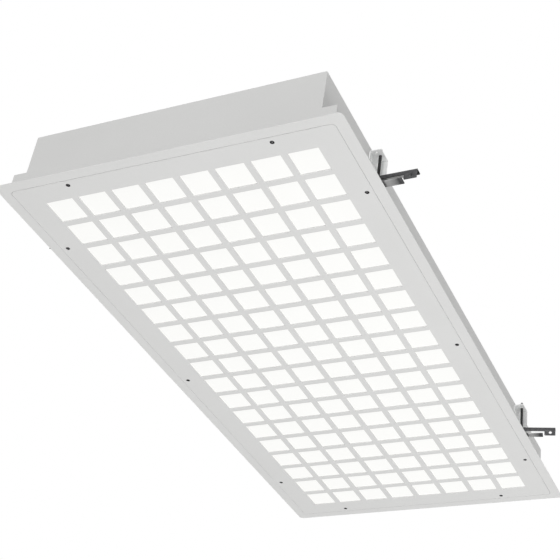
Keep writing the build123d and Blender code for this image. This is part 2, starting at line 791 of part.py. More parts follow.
def leg_outline(length):
    """Plan of one leg of the arm, tapered behind the screw so that it turns inside the bracket."""
    with BuildLine() as outline:
        Polyline(
            (-arm_back, -arm_back_half_width),
            (-arm_back_shoulder, -arm_near_side),
            (length, -arm_near_side),
            (length, arm_far_side),
            (-arm_back_half_width, arm_far_side),
            (-arm_back, arm_back_half_width),
            close=True,
        )
    return outline.line


with BuildPart() as arm:
    for level, length in ((arm_low, lower_leg_length), (arm_top - arm_sheet, arm_length)):
        with BuildSketch(Plane.XY.offset(level)):
            add(leg_outline(length))
            make_face()
            Circle(clamp_nut_hub_radius + arm_running, mode=Mode.SUBTRACT)
        extrude(amount=arm_sheet)
    # Fold behind the screw that joins the two legs.
    with BuildSketch(Plane.XY.offset(arm_low)):
        with Locations((-arm_back, 0)):
            Rectangle(arm_sheet, 2 * arm_back_half_width, align=(Align.MIN, Align.CENTER))
    extrude(amount=arm_height)
    # Side lip that turns down into the flag at the tip.
    with BuildSketch(Plane.XZ.offset(arm_near_side)):
        with BuildLine():
            Polyline(
                (-arm_back_shoulder, arm_top),
                (arm_length, arm_top),
                (arm_length, arm_top - flag_height),
                (arm_length - flag_length, arm_top - flag_height),
                (arm_length - flag_length, arm_top - side_lip_height),
                (-arm_back_shoulder, arm_top - side_lip_height),
                close=True,
            )
        make_face()
        with Locations((arm_length - flag_hole_from_tip, arm_top - flag_height + flag_hole_above_edge)):
            Circle(flag_hole_radius, mode=Mode.SUBTRACT)
    extrude(amount=-arm_sheet)

for corner, (x, y, turn) in clamp_places.items():
    fixed = Location((x, y, 0), (0, 0, turn))
    swung = Location((x, y, 0), (0, 0, arm_turns[corner]))
    for name, piece, spot in (
        ("clamp_bracket", bracket, fixed),
        ("clamp_screw", screw, fixed),
        ("stop_nut", stop_nut, fixed),
        ("clamp_nut", clamp_nut, fixed),
        ("clamp_arm", arm, swung),
    ):
        with BuildPart() as placed:
            with Locations(spot):
                add(piece.part)
        save(placed, f"{name}_{corner}")
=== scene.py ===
"""Looks of the recessed troffer light: finishes for its sheet-metal pieces, and modelled swing arms,
threaded clamp screws, fasteners and cable fittings.

Metres. The origin is the centre of the face plane, +Z points up into the ceiling and +Y runs along
the light."""

import json
import math

import bmesh
import bpy
from mathutils import Matrix, Vector


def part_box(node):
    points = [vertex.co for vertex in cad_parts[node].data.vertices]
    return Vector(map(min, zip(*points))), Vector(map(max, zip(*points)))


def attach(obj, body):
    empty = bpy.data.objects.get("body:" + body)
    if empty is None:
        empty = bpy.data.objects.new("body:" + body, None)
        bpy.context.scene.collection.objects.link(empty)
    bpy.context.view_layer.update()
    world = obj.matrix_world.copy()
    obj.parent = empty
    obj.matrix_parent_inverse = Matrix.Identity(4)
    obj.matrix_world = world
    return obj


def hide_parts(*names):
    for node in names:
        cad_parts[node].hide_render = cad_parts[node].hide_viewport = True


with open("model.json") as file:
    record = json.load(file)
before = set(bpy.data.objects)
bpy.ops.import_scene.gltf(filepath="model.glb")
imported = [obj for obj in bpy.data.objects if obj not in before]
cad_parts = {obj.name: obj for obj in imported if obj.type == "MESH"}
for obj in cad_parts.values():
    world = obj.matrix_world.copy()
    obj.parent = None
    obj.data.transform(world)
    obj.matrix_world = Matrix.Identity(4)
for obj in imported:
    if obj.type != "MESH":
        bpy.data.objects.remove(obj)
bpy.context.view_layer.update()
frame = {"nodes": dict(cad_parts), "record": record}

mm = 0.001
full_turn = 2 * math.pi
corners = ("right_front", "right_rear", "left_front", "left_rear")


def size_of(node):
    """How large a node is along X, Y and Z."""
    return [high - low for low, high in zip(*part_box(node))]


def axis_of(node):
    """The upright axis through the middle of a node, as x and y."""
    low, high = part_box(node)
    return (low.x + high.x) / 2, (low.y + high.y) / 2


# ---------------------------------------------------------------- sizes
board_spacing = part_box("led_board_2")[0].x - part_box("led_board_1")[0].x
sheet_edge_round = 0.25 * mm

# the way each arm points, in degrees from +X towards +Y
arm_turns = {"right_front": 0.0, "right_rear": 13.0, "left_front": 185.5, "left_rear": 172.5}
arm_sheet = 1.2 * mm
arm_bend = 1.0 * mm  # of the sheet's middle surface
arm_length = 66.3 * mm
arm_near_side = 6.4 * mm
arm_far_side = 7.9 * mm
arm_back = 8.0 * mm
arm_waist = 4.5 * mm  # half width of the fold behind the screw
arm_shoulder = 4.8 * mm
arm_edge_round = 0.16 * mm
small_corner, leg_corner, back_corner, large_corner = 0.8 * mm, 1.0 * mm, 1.2 * mm, 1.6 * mm
lower_leg_length = 42.0 * mm
side_lip = 8.0 * mm
flag_length = 21.3 * mm
flag_depth = size_of("clamp_arm_right_front")[2]
flag_hole_radius = 3.0 * mm
flag_hole_from_tip = 9.9 * mm
flag_hole_above_edge = 6.3 * mm
hub_hole_radius = 3.65 * mm
hub_stand = 0.3 * mm  # of each of the nut's hubs, out of the arm
arm_height = size_of("clamp_nut_right_front")[2] - 2 * hub_stand

edge_break = 0.25 * mm
thread_pitch = 0.8 * mm
thread_depth = 0.45 * mm
screw_radius = 2.5 * mm
screw_head_radius = 4.75 * mm
screw_head_round = 1.1 * mm
screw_head = 3.4 * mm
screw_socket = 4.0 * mm  # across flats
screw_socket_depth = 2.2 * mm
screw_tip_chamfer = 0.6 * mm
screw_bare_above = 66.5 * mm  # from the head's bearing face, just above the bracket
plain_shank = 3.0 * mm  # between head and thread
nut_bore_radius = 2.55 * mm
stop_nut_chamfer = 0.35 * mm
clamp_nut_round = 0.2 * mm
hub_length = 1.6 * mm
hub_clearance = 0.05 * mm

panel_screw_head_radius = 3.6 * mm
panel_screw_radius = 1.95 * mm
panel_screw_socket = 2.5 * mm  # across flats
panel_screw_socket_depth = 1.4 * mm
panel_screw_highlight_above = panel_screw_socket_depth - 0.1 * mm  # so that the socket's floor has a painted highlight

rivet_radius = 2.0 * mm
rivet_pin_radius = 1.0 * mm
tray_rivet_head_radius = 4.0 * mm
tray_rivet_rise = 1.2 * mm
tray_rivet_grip = 3.2 * mm
wall_rivet_head_radius = 3.6 * mm
wall_rivet_rise = 1.1 * mm
wall_rivet_tail = 1.1 * mm
wall_rivet_length = 4.9 * mm  # with head and tail

cable_bore_radius = 5.0 * mm
collar_radius = 10.2 * mm
fitting_flange = 2.0 * mm
fitting_round = 0.7 * mm
plug_wall = 1.5 * mm


# ---------------------------------------------------------------- materials
noise_range = 0.3, 0.7  # where most of a noise lies
sum_range = 0.2, 1.8  # where most of the sum of two patterns lies
speck_range = 0.74, 0.78  # high in a noise, so that specks are rare


def maths(tree, operation, *inputs):
    """The result of a Math node, whose inputs are results of other nodes or numbers."""
    node = tree.nodes.new("ShaderNodeMath")
    node.operation = operation
    for socket, value in zip(node.inputs, inputs):
        if isinstance(value, float):
            socket.default_value = value
        else:
            tree.links.new(value, socket)
    return node.outputs[0]


def shade(colour, factor):
    return tuple(min(1.0, channel * factor) for channel in colour)


class Finish:
    """A procedural material. Its pattern is laid out in each piece's own metres."""

    def __init__(self, name, colour, roughness, metallic=0.0):
        self.material = bpy.data.materials.new(name)
        self.material.use_nodes = True
        self.tree = self.material.node_tree
        self.nodes, self.links = self.tree.nodes, self.tree.links
        self.shader = self.nodes["Principled BSDF"]
        self.shader.inputs["Base Color"].default_value = (*colour, 1)
        self.shader.inputs["Roughness"].default_value = roughness
        self.shader.inputs["Metallic"].default_value = metallic
        self.place = self.nodes.new("ShaderNodeTexCoord").outputs["Object"]

    def axes(self):
        """The place's X, Y and Z."""
        split = self.nodes.new("ShaderNodeSeparateXYZ")
        self.links.new(self.place, split.inputs[0])
        return split.outputs

    def stretched(self, factors):
        """The place with each axis scaled, for grain that runs one way."""
        mapping = self.nodes.new("ShaderNodeMapping")
        mapping.inputs["Scale"].default_value = factors
        self.links.new(self.place, mapping.inputs["Vector"])
        return mapping.outputs["Vector"]

    def noise(self, size, detail=2.0, place=None):
        """Noise from 0 to 1 whose features are about so large."""
        node = self.nodes.new("ShaderNodeTexNoise")
        node.inputs["Scale"].default_value = 1 / size
        node.inputs["Detail"].default_value = detail
        self.links.new(place or self.place, node.inputs["Vector"])
        return node.outputs[0]

    def cells(self, size, place=None):
        """A random grey for each crystal-like cell."""
        node = self.nodes.new("ShaderNodeTexVoronoi")
        node.inputs["Scale"].default_value = 1 / size
        self.links.new(place or self.place, node.inputs["Vector"])
        split = self.nodes.new("ShaderNodeSeparateColor")
        self.links.new(node.outputs["Color"], split.inputs[0])
        return split.outputs[0]

    def spread(self, source, low, high, start=noise_range[0], end=noise_range[1], kind="LINEAR"):
        """A source from start to end, mapped to low to high."""
        node = self.nodes.new("ShaderNodeMapRange")
        node.interpolation_type = kind
        values = {"From Min": start, "From Max": end, "To Min": low, "To Max": high}
        for name, value in values.items():
            node.inputs[name].default_value = value
        self.links.new(source, node.inputs["Value"])
        return node.outputs[0]

    def patches(self, size, detail=2.0):
        """Noise with its middle range spread over 0 to 1."""
        return self.spread(self.noise(size, detail), 0, 1)

    def add(self, one, other):
        return maths(self.tree, "ADD", one, other)

    def times(self, one, *others):
        for other in others:
            one = maths(self.tree, "MULTIPLY", one, other)
        return one

    def blend(self, source, one, other):
        """A colour between two, by a source from 0 to 1."""
        node = self.nodes.new("ShaderNodeMix")
        node.data_type = "RGBA"
        colour_sockets, colour_output = node.inputs[6:8], 2  # the node has others for numbers
        self.links.new(source, node.inputs[0])
        for socket, colour in zip(colour_sockets, (one, other)):
            if isinstance(colour, tuple):
                socket.default_value = (*colour, 1)
            else:
                self.links.new(colour, socket)
        return node.outputs[colour_output]

    def mottle(self, source, colour, dark, light):
        """A colour from dark to light times its level, by a source from 0 to 1."""
        return self.blend(source, shade(colour, dark), shade(colour, light))

    def colour(self, source):
        self.links.new(source, self.shader.inputs["Base Color"])

    def glow(self, source):
        self.links.new(source, self.shader.inputs["Emission Color"])
        self.shader.inputs["Emission Strength"].default_value = 1.0

    def roughen(self, source):
        self.links.new(source, self.shader.inputs["Roughness"])

    def relief(self, source, height, strength=1.0):
        node = self.nodes.new("ShaderNodeBump")
        node.inputs["Distance"].default_value = height
        node.inputs["Strength"].default_value = strength
        self.links.new(source, node.inputs["Height"])
        self.links.new(node.outputs[0], self.shader.inputs["Normal"])


def powder_coat(name, colour, roughness, orange_peel):
    """Baked powder paint: fine orange peel, faint clouds from the spray, a few dust specks."""
    paint = Finish(name, colour, roughness)
    specks = paint.spread(paint.noise(0.7 * mm, detail=0), 0, 1, *speck_range)
    tone = paint.mottle(paint.patches(160 * mm, detail=3), colour, dark=0.985, light=1.012)
    paint.colour(paint.blend(specks, tone, shade(colour, 0.9)))
    paint.roughen(paint.spread(paint.noise(3 * mm), roughness - 0.05, roughness + 0.06))
    paint.relief(paint.noise(1.1 * mm, detail=3), orange_peel)
    return paint.material


def zinc_plate(name, colour):
    """Pale passivated zinc: soft grey clouds, faint crystals and fine drawing lines from the sheet."""
    zinc = Finish(name, colour, roughness=0.45, metallic=0.12)
    clouds = zinc.patches(14 * mm, detail=3)
    crystals = zinc.spread(zinc.cells(2.2 * mm), low=0, high=0.16, start=0, end=1)
    lines = zinc.noise(0.35 * mm, place=zinc.stretched((1.0, 1.0, 0.04)))
    tone = zinc.mottle(clouds, colour, dark=0.94, light=1.05)
    zinc.colour(zinc.blend(crystals, tone, shade(colour, 0.72)))
    zinc.roughen(zinc.spread(zinc.add(clouds, lines), 0.38, 0.54, *sum_range))
    zinc.relief(lines, 0.02 * mm, strength=0.5)
    return zinc.material


def blackened_steel(name, bright, dark):
    """Blackened spring steel, its screw at x = 0 and its top at z = 0. Light and shade are painted in:
    a painted reflection lightens the lower leg and, further out, painted light the upper leg's
    underside, both held down near the screw by a painted shadow of the flange; the upper leg's tip has
    painted shade. Each zone has an edge that fades from one place to another."""
    # edges of the painted flange shadow, painted reflection, painted light and painted shade at the tip
    flange_shadow_edge, lower_reflection_edge = (12 * mm, 15.5 * mm), (21 * mm, 36 * mm)
    upper_light_edge, tip_shade_edge = (42 * mm, 52 * mm), (50 * mm, 60 * mm)
    lower_leg_edge, lip_edge = (-11.5 * mm, -9.5 * mm), (-5.6 * mm, -5.0 * mm)
    below_underside, above_underside = (-1.6 * mm, -1.4 * mm), (-1.1 * mm, -0.9 * mm)
    steel = Finish(name, dark, roughness=0.38, metallic=0.75)
    along, across, level = steel.axes()
    on_lower = steel.spread(level, 1, 0, *lower_leg_edge)
    under_upper = steel.times(
        steel.spread(level, 0, 1, *below_underside),
        steel.spread(level, 1, 0, *above_underside),
        steel.spread(across, 0, 1, *lip_edge),
    )
    # painted reflection under the lower leg and painted light under the upper leg
    lower = steel.times(on_lower, steel.spread(along, 1, 0, *lower_reflection_edge))
    upper = steel.times(under_upper, steel.spread(along, 1, 0, *upper_light_edge))
    # held down near the screw, where a painted shadow of the flange darkens the leg
    painted_light_share = steel.times(steel.add(lower, upper), steel.spread(along, 0.3, 1, *flange_shadow_edge))
    patches = steel.patches(5 * mm, detail=4)
    lines = steel.noise(0.4 * mm, place=steel.stretched((0.05, 1.0, 1.0)))
    tone = steel.mottle(patches, dark, dark=0.8, light=1.25)
    # grey of the painted reflection, streaked by the sheet's drawing lines
    painted_reflection_tone = steel.mottle(steel.spread(lines, 0, 1), bright, dark=0.86, light=1)
    # painted shade at the upper leg's tip
    painted_tip_shade = steel.times(under_upper, steel.spread(along, 0, 1, *tip_shade_edge))
    steel.colour(steel.blend(painted_tip_shade, steel.blend(painted_light_share, tone, painted_reflection_tone), shade(dark, 0.15)))
    steel.roughen(steel.spread(steel.add(patches, lines), 0.3, 0.46, *sum_range))
    steel.relief(lines, 0.02 * mm, strength=0.6)
    return steel.material


def black_oxide(name, colour, bare_end_and_highlight_above):
    """Blackened steel with a trace of oil, pale grey above a level: a clamp screw's bare end, and a
    painted highlight on a panel screw's socket floor.
    """
    steel = Finish(name, colour, roughness=0.36, metallic=0.6)
    bare_end_and_highlight_grey, bare_fade = (0.5, 0.5, 0.5), 0.05 * mm
    tone = steel.mottle(steel.patches(2.5 * mm, detail=3), colour, dark=0.75, light=1.5)
    # pale grey above the level: a bare end on a clamp screw, a painted highlight on a panel screw's
    # socket floor
    bare = steel.spread(steel.axes()["Z"], 0, 1, bare_end_and_highlight_above, bare_end_and_highlight_above + bare_fade)
    steel.colour(steel.blend(bare, tone, bare_end_and_highlight_grey))
    steel.roughen(steel.spread(steel.noise(0.9 * mm), low=0.28, high=0.48))
    steel.relief(steel.noise(0.3 * mm), 0.01 * mm, strength=0.5)
    return steel.material


def moulded(name, colour, roughness, grain=0.5 * mm, depth=0.02 * mm):
    """Moulded plastic or rubber with a spark-eroded grain."""
    plastic = Finish(name, colour, roughness)
    plastic.colour(plastic.mottle(plastic.patches(9 * mm), colour, dark=0.94, light=1.05))
    plastic.roughen(plastic.spread(plastic.noise(2 * mm), roughness - 0.06, roughness + 0.08))
    plastic.relief(plastic.noise(grain), depth)
    return plastic.material


def lit_opal(name, colour, light):
    """Opal sheet lit from behind: near white, a little fuller over each row of boards."""
    opal = Finish(name, colour, roughness=0.4)
    turns = maths(opal.tree, "MULTIPLY", opal.axes()["X"], full_turn / board_spacing)
    wave = maths(opal.tree, "COSINE", turns)
    over_boards = opal.spread(wave, low=0.5, high=0, start=-1, end=1)
    clouds = opal.spread(opal.noise(300 * mm), low=0, high=0.5)
    opal.glow(opal.mottle(opal.add(over_boards, clouds), light, dark=0.985, light=1))
    opal.relief(opal.noise(0.8 * mm), 0.02 * mm, strength=0.4)
    return opal.material


def circuit_board(name, colour, bare, over_track):
    """White solder mask over copper tracks that show as faint broad lines."""
    mask = Finish(name, colour, roughness=0.35)
    long_cells = mask.cells(6 * mm, place=mask.stretched((1.0, 0.12, 1.0)))
    tracks = mask.spread(long_cells, low=0, high=1, start=0.45, end=0.5)
    mask.colour(mask.blend(tracks, bare, over_track))
    mask.relief(tracks, 0.03 * mm, strength=0.6)
    return mask.material


def phosphor(name, colour, bright):
    """Yellow phosphor under clear resin, lit."""
    resin = Finish(name, colour, roughness=0.2)
    tint = resin.blend(resin.patches(0.3 * mm), shade(colour, 0.85), bright)
    resin.colour(tint)
    resin.glow(tint)
    return resin.material


def satin_brass(name, colour):
    """Brass with a faint tarnish in patches."""
    brass = Finish(name, colour, roughness=0.3, metallic=1.0)
    brass.colour(brass.mottle(brass.patches(3 * mm, detail=3), colour, dark=0.8, light=1.12))
    brass.roughen(brass.spread(brass.noise(0.6 * mm), low=0.24, high=0.4))
    return brass.material


face_grey = (0.70, 0.70, 0.692)
oxide_grey = (0.085, 0.085, 0.088)
# grey of the painted reflection and painted light on the arms
reflection_grey = (0.70, 0.70, 0.70)
opal_grey, opal_light = (0.34, 0.34, 0.335), (0.64, 0.64, 0.626)
mask_white, mask_bare, mask_over_track = (0.8, 0.81, 0.79), (0.82, 0.83, 0.81), (0.7, 0.72, 0.68)
phosphor_yellow, phosphor_bright = (0.9, 0.68, 0.2), (1.0, 0.85, 0.45)

recipes = {  # each slot's material function, and its values after the name
    "painted_white": (powder_coat, face_grey, 0.5, 0.02 * mm),
    "housing_paint": (powder_coat, face_grey, 0.55, 0.025 * mm),
    "tray_paint": (powder_coat, (0.86, 0.86, 0.85), 0.3, 0.01 * mm),
    "black_screw": (black_oxide, (0.018, 0.018, 0.019), panel_screw_highlight_above),
    "black_steel": (black_oxide, (0.05, 0.05, 0.051), screw_bare_above),
    "dark_steel": (blackened_steel, reflection_grey, oxide_grey),
    "zinc": (zinc_plate, (0.94, 0.945, 0.94)),
    "brass": (satin_brass, (0.62, 0.43, 0.16)),
    "black_rubber": (moulded, (0.022, 0.022, 0.023), 0.7, 0.3 * mm, 0.03 * mm),
    "opal": (lit_opal, opal_grey, opal_light),
    "white_plastic": (moulded, (0.76, 0.76, 0.73), 0.42),
    "driver_case": (moulded, (0.8, 0.8, 0.77), 0.5),
    "board_mask": (circuit_board, mask_white, mask_bare, mask_over_track),
    "led_phosphor": (phosphor, phosphor_yellow, phosphor_bright),
}
finishes = {slot: recipe(slot, *values) for slot, (recipe, *values) in recipes.items()}

# ---------------------------------------------------------------- mesh helpers
round_sides = 24  # points round a fastener; a multiple of twelve, so that a hexagon has its corners
same_point = 1e-6  # two points nearer than this are one
sharp_angle = math.radians(32)


def finished(name, mesh, slot, body, nodes, place=Matrix.Identity(4)):
    """A piece from a mesh: shaded smooth up to its sharp edges, placed and painted, riding on a body
    and standing for nodes."""
    mesh.shade_smooth()
    mesh.set_sharp_from_angle(angle=sharp_angle)
    mesh.materials.append(finishes[slot])
    piece = bpy.data.objects.new(name, mesh)
    bpy.context.scene.collection.objects.link(piece)
    piece.matrix_world = place
    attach(piece, body)
    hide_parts(*nodes)


def modify(piece, *settings):
    """Modifiers on a piece, each given as its kind and its values."""
    for kind, values in settings:
        modifier = piece.modifiers.new(kind.lower(), kind)
        for name, value in values.items():
            setattr(modifier, name, value)


def rounding(width, angle):
    """Settings of a bevel on the edges that are sharper than an angle in degrees."""
    limit = {"limit_method": "ANGLE", "angle_limit": math.radians(angle)}
    return "BEVEL", {"width": width, "segments": 2, **limit}


def soften(piece, width):
    """Round the edges of a piece by modifiers, with its mesh as it is."""
    weld = "WELD", {"merge_threshold": 0.002 * mm}
    even_shading = "WEIGHTED_NORMAL", {"keep_sharp": True}
    modify(piece, weld, rounding(width, angle=35), even_shading)


def ring(radius_at, level, x=0.0, y=0.0):
    """Points round an upright axis, from +X on. The radius is found from the angle."""
    points = []
    for i in range(round_sides):
        angle = full_turn * i / round_sides
        radius = radius_at(angle)
        points.append(Vector((x + radius * math.cos(angle), y + radius * math.sin(angle), level)))
    return points


def circle(radius, level, x=0.0, y=0.0):
    """A ring of one radius."""
    return ring(lambda angle: radius, level, x, y)


def hexagon(flats, level, limit=math.inf):
    """A ring on a hexagon, drawn in where its corners pass a limiting radius."""
    half_side = math.pi / 6  # the angle from the middle of a side to its corner

    def radius_at(angle):
        off_middle = (angle + half_side) % (2 * half_side) - half_side
        return min(flats / 2 / math.cos(off_middle), limit)

    return ring(radius_at, level)


def turned(profile, x=0.0, y=0.0):
    """Rings of the radii and levels of a profile."""
    return [circle(radius, level, x, y) for radius, level in profile]


def arc(radius, level, bend, start, end, steps=5):
    """Points of a profile round part of a circle, angles in degrees from outwards towards up."""
    turns = [math.radians(start + (end - start) * i / steps) for i in range(steps + 1)]
    return [(radius + bend * math.cos(turn), level + bend * math.sin(turn)) for turn in turns]


def skin(build, rings, closed):
    """Faces between rings of points in order. A closed stack joins its last ring to its first."""
    loops = [[build.verts.new(point) for point in points] for points in rings]
    pairs = list(zip(loops, loops[1:]))
    if closed:
        pairs.append((loops[-1], loops[0]))
    else:
        build.faces.new(loops[0][::-1])
        build.faces.new(loops[-1])
    for low, high in pairs:
        for i in range(len(low)):
            j = (i + 1) % len(low)
            build.faces.new((low[i], low[j], high[j], high[i]))


def as_mesh(name, build):
    """A mesh from a bmesh, with its faces turned outwards."""
    bmesh.ops.recalc_face_normals(build, faces=build.faces[:])
    mesh = bpy.data.meshes.new(name)
    build.to_mesh(mesh)
    build.free()
    return mesh


def skinned(name, rings, closed=False, places=(Matrix.Identity(4),)):
    """One mesh with a copy of the rings' skin at each place."""
    build = bmesh.new()
    for place in places:
        skin(build, [[place @ point for point in points] for points in rings], closed)
    return as_mesh(name, build)


def spots_of(node):
    """Middles of the separate solids of a node, found from its mesh."""
    build = bmesh.new()
    build.from_mesh(frame["nodes"][node].data)
    bmesh.ops.remove_doubles(build, verts=build.verts[:], dist=same_point)
    seen, spots = set(), []
    for first in build.verts:
        if first in seen:
            continue
        seen.add(first)
        group, reached = [], [first]
        while reached:
            vertex = reached.pop()
            group.append(vertex.co)
            others = {link.other_vert(vertex) for link in vertex.link_edges} - seen
            seen |= others
            reached += others
        spots.append(Vector([(min(values) + max(values)) / 2 for values in zip(*group)]))
    build.free()
    return spots


# ---------------------------------------------------------------- folded swing arms
quarter = arm_bend * math.pi / 2  # length of sheet in one fold
side_fold = -arm_near_side + arm_sheet / 2 + arm_bend  # where the side lip's fold starts
back_fold = -arm_back + arm_sheet / 2 + arm_bend
back_rise = arm_height - arm_sheet - 2 * arm_bend  # straight part behind the screw
lower_start = back_fold - 2 * quarter - back_rise  # where the lower leg's flat part starts
lip_flat = side_lip - arm_sheet / 2 - arm_bend
flag_flat = flag_depth - arm_sheet / 2 - arm_bend


def on_lower_leg(x):
    """Where a point of the lower leg lies along the flat sheet, before it is folded."""
    return lower_start - (x - back_fold)


def rounded(outline, steps=4):
    """Points round a closed outline whose corners are (x, y, radius)."""
    points = []
    for i, (x, y, radius) in enumerate(outline):
        here = Vector((x, y))
        before = (Vector(outline[i - 1][:2]) - here).normalized()
        after = (Vector(outline[(i + 1) % len(outline)][:2]) - here).normalized()
        if radius == 0:
            points.append((x, y))
            continue
        half = before.angle(after) / 2
        centre = here + (before + after).normalized() * (radius / math.sin(half))
        start = here + before * (radius / math.tan(half)) - centre
        end = here + after * (radius / math.tan(half)) - centre
        turn = math.atan2(start.cross(end), start.dot(end))
        for step in range(steps + 1):
            spoke = Matrix.Rotation(turn * step / steps, 2) @ start
            points.append(tuple(centre + spoke))
    return points


def folded(point):
    """A point of the flat sheet, moved to where the folds put it. Level 0 is the middle of the
    upper leg's sheet."""
    x, y = point.x, point.y
    if x < back_fold:
        along = back_fold - x
        if along < quarter:
            turn = along / arm_bend
            level = arm_bend * (math.cos(turn) - 1)
            return Vector((back_fold - arm_bend * math.sin(turn), y, level))
        if along < quarter + back_rise:
            return Vector((back_fold - arm_bend, y, -arm_bend - (along - quarter)))
        if along < 2 * quarter + back_rise:
            turn = (along - quarter - back_rise) / arm_bend
            drop = arm_bend * (1 + math.sin(turn)) + back_rise
            return Vector((back_fold - arm_bend * math.cos(turn), y, -drop))
        flat = along - 2 * quarter - back_rise
        return Vector((back_fold + flat, y, -(2 * arm_bend + back_rise)))
    if y < side_fold:
        along = side_fold - y
        if along < quarter:
            turn = along / arm_bend
            level = arm_bend * (math.cos(turn) - 1)
            return Vector((x, side_fold - arm_bend * math.sin(turn), level))
        return Vector((x, side_fold - arm_bend, -arm_bend - (along - quarter)))
    return Vector((x, y, 0))


def arm_blank():
    """The outline of the arm's flat sheet, and the middles and radii of its holes."""
    lip_edge = side_fold - quarter - lip_flat
    flag_edge = side_fold - quarter - flag_flat
    flag_start = arm_length - flag_length
    fold_middle = (back_fold + lower_start) / 2
    waist_start, waist_end = back_fold - quarter, lower_start + quarter
    outline = [
        (arm_length, flag_edge, small_corner),
        (arm_length, arm_far_side, large_corner),
        (-arm_waist, arm_far_side, back_corner),
        (waist_start, arm_waist, 0),
        (fold_middle, arm_waist, 0),
        (waist_end, arm_waist, 0),
        (on_lower_leg(-arm_waist), arm_far_side, back_corner),
        (on_lower_leg(lower_leg_length), arm_far_side, leg_corner),
        (on_lower_leg(lower_leg_length), -arm_near_side, leg_corner),
        (on_lower_leg(-arm_shoulder), -arm_near_side, back_corner),
        (waist_end, -arm_waist, 0),
        (fold_middle, -arm_waist, 0),
        (waist_start, -arm_waist, 0),
        (-arm_shoulder, side_fold, 0),
        (-arm_shoulder, lip_edge, leg_corner),
        (flag_start, lip_edge, small_corner),
        (flag_start, flag_edge, large_corner),
    ]
    hole_down = flag_depth - flag_hole_above_edge - arm_sheet / 2 - arm_bend
    holes = [
        (0, 0, hub_hole_radius),
        (on_lower_leg(0), 0, hub_hole_radius),
        (arm_length - flag_hole_from_tip, side_fold - quarter - hole_down, flag_hole_radius),
    ]
    return outline, holes


def arm_mesh():
    """The middle surface of the arm's sheet, folded behind the screw and along its side."""
    outline, holes = arm_blank()
    sheet = bmesh.new()
    rims = [[point.xy for point in circle(radius, 0, x, y)] for x, y, radius in holes]
    for points in [rounded(outline)] + rims:
        loop = [sheet.verts.new((x, y, 0)) for x, y in points]
        for one, other in zip(loop, loop[1:] + loop[:1]):
            sheet.edges.new((one, other))
    bmesh.ops.triangle_fill(sheet, use_beauty=True, edges=sheet.edges[:])

    fold_steps, cut_tolerance = 5, 1e-7
    steps = [quarter * i / fold_steps for i in range(fold_steps + 1)]
    along, across = Vector((1, 0, 0)), Vector((0, 1, 0))
    cuts = [(across, side_fold - step) for step in steps]
    for start in (back_fold, back_fold - quarter - back_rise):
        cuts += [(along, start - step) for step in steps]
    for normal, place in cuts:
        whole = sheet.verts[:] + sheet.edges[:] + sheet.faces[:]
        plane = {"plane_co": normal * place, "plane_no": normal}
        bmesh.ops.bisect_plane(sheet, geom=whole, dist=cut_tolerance, **plane)
    for vertex in sheet.verts:
        vertex.co = folded(vertex.co)
    bmesh.ops.remove_doubles(sheet, verts=sheet.verts[:], dist=same_point)
    flat = {"angle_limit": math.radians(1)}
    bmesh.ops.dissolve_limit(sheet, verts=sheet.verts[:], edges=sheet.edges[:], **flat)
    return as_mesh("swing_arm", sheet)


def through_modifiers(mesh, *settings):
    """The mesh after modifiers, each given as its kind and its values."""
    carrier = bpy.data.objects.new("carrier", mesh)
    bpy.context.scene.collection.objects.link(carrier)
    modify(carrier, *settings)
    graph = bpy.context.evaluated_depsgraph_get()
    made = bpy.data.meshes.new_from_object(carrier.evaluated_get(graph))
    bpy.data.objects.remove(carrier)
    return made


def make_arms():
    """A swing arm at each clamp, its screw's axis at x = y = 0 and its top at z = 0 in its own mesh."""
    thicken = "SOLIDIFY", {"thickness": arm_sheet, "offset": 0.0, "use_even_offset": True}
    mesh = through_modifiers(arm_mesh(), thicken, rounding(arm_edge_round, angle=50))
    mesh.transform(Matrix.Translation((0, 0, -arm_sheet / 2)))
    for corner in corners:
        node = f"clamp_arm_{corner}"
        x, y = axis_of(f"clamp_screw_{corner}")
        top = Matrix.Translation((x, y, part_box(node)[1].z))
        place = top @ Matrix.Rotation(math.radians(arm_turns[corner]), 4, "Z")
        finished(f"swing_arm_{corner}", mesh.copy(), "dark_steel", f"arm_{corner}", [node], place)


# ---------------------------------------------------------------- clamp screws and their nuts
def thread_ring(level, low, high):
    """A ring of the thread, which runs out at its lower end and is chamfered at its upper end."""
    depth = thread_depth * min(1, (level - low) / thread_pitch)
    limit = screw_radius - screw_tip_chamfer + high - level

    def radius_at(angle):
        groove = 1 - abs(2 * ((level / thread_pitch - angle / full_turn) % 1) - 1)
        return min(screw_radius - depth * groove, limit)

    return ring(radius_at, level)


def socket_rings(flats, depth, level, rim):
    """A hexagon socket that opens downwards, from its drilled floor to the flat of the head."""
    drilled, floor_rise, mouth = 0.5 * flats, 0.15 * flats, 0.56 * flats
    return [
        hexagon(drilled, level + depth + floor_rise),
        hexagon(flats, level + depth),
        hexagon(flats, level + edge_break),
        hexagon(flats + edge_break, level, mouth),
        circle(rim, level),
    ]


def clamp_screw_mesh(length):
    """The screw, head down, with the head's bearing face at z = 0."""
    rings_per_turn = 6
    flat = screw_head_radius - screw_head_round
    head = arc(flat, screw_head_round - screw_head, screw_head_round, -90, 0)[1:]
    head += [(screw_head_radius, -edge_break), (screw_head_radius - edge_break, 0)]
    shank = [(screw_radius, 0), (screw_radius, plain_shank)]
    rings = socket_rings(screw_socket, screw_socket_depth, -screw_head, flat) + turned(head + shank)
    count = int((length - plain_shank) / thread_pitch * rings_per_turn)
    rise = (length - plain_shank) / count
    levels = [plain_shank + rise * (i + 1) for i in range(count)]
    rings += [thread_ring(level, plain_shank, length) for level in levels]
    return skinned("clamp_screw", rings)


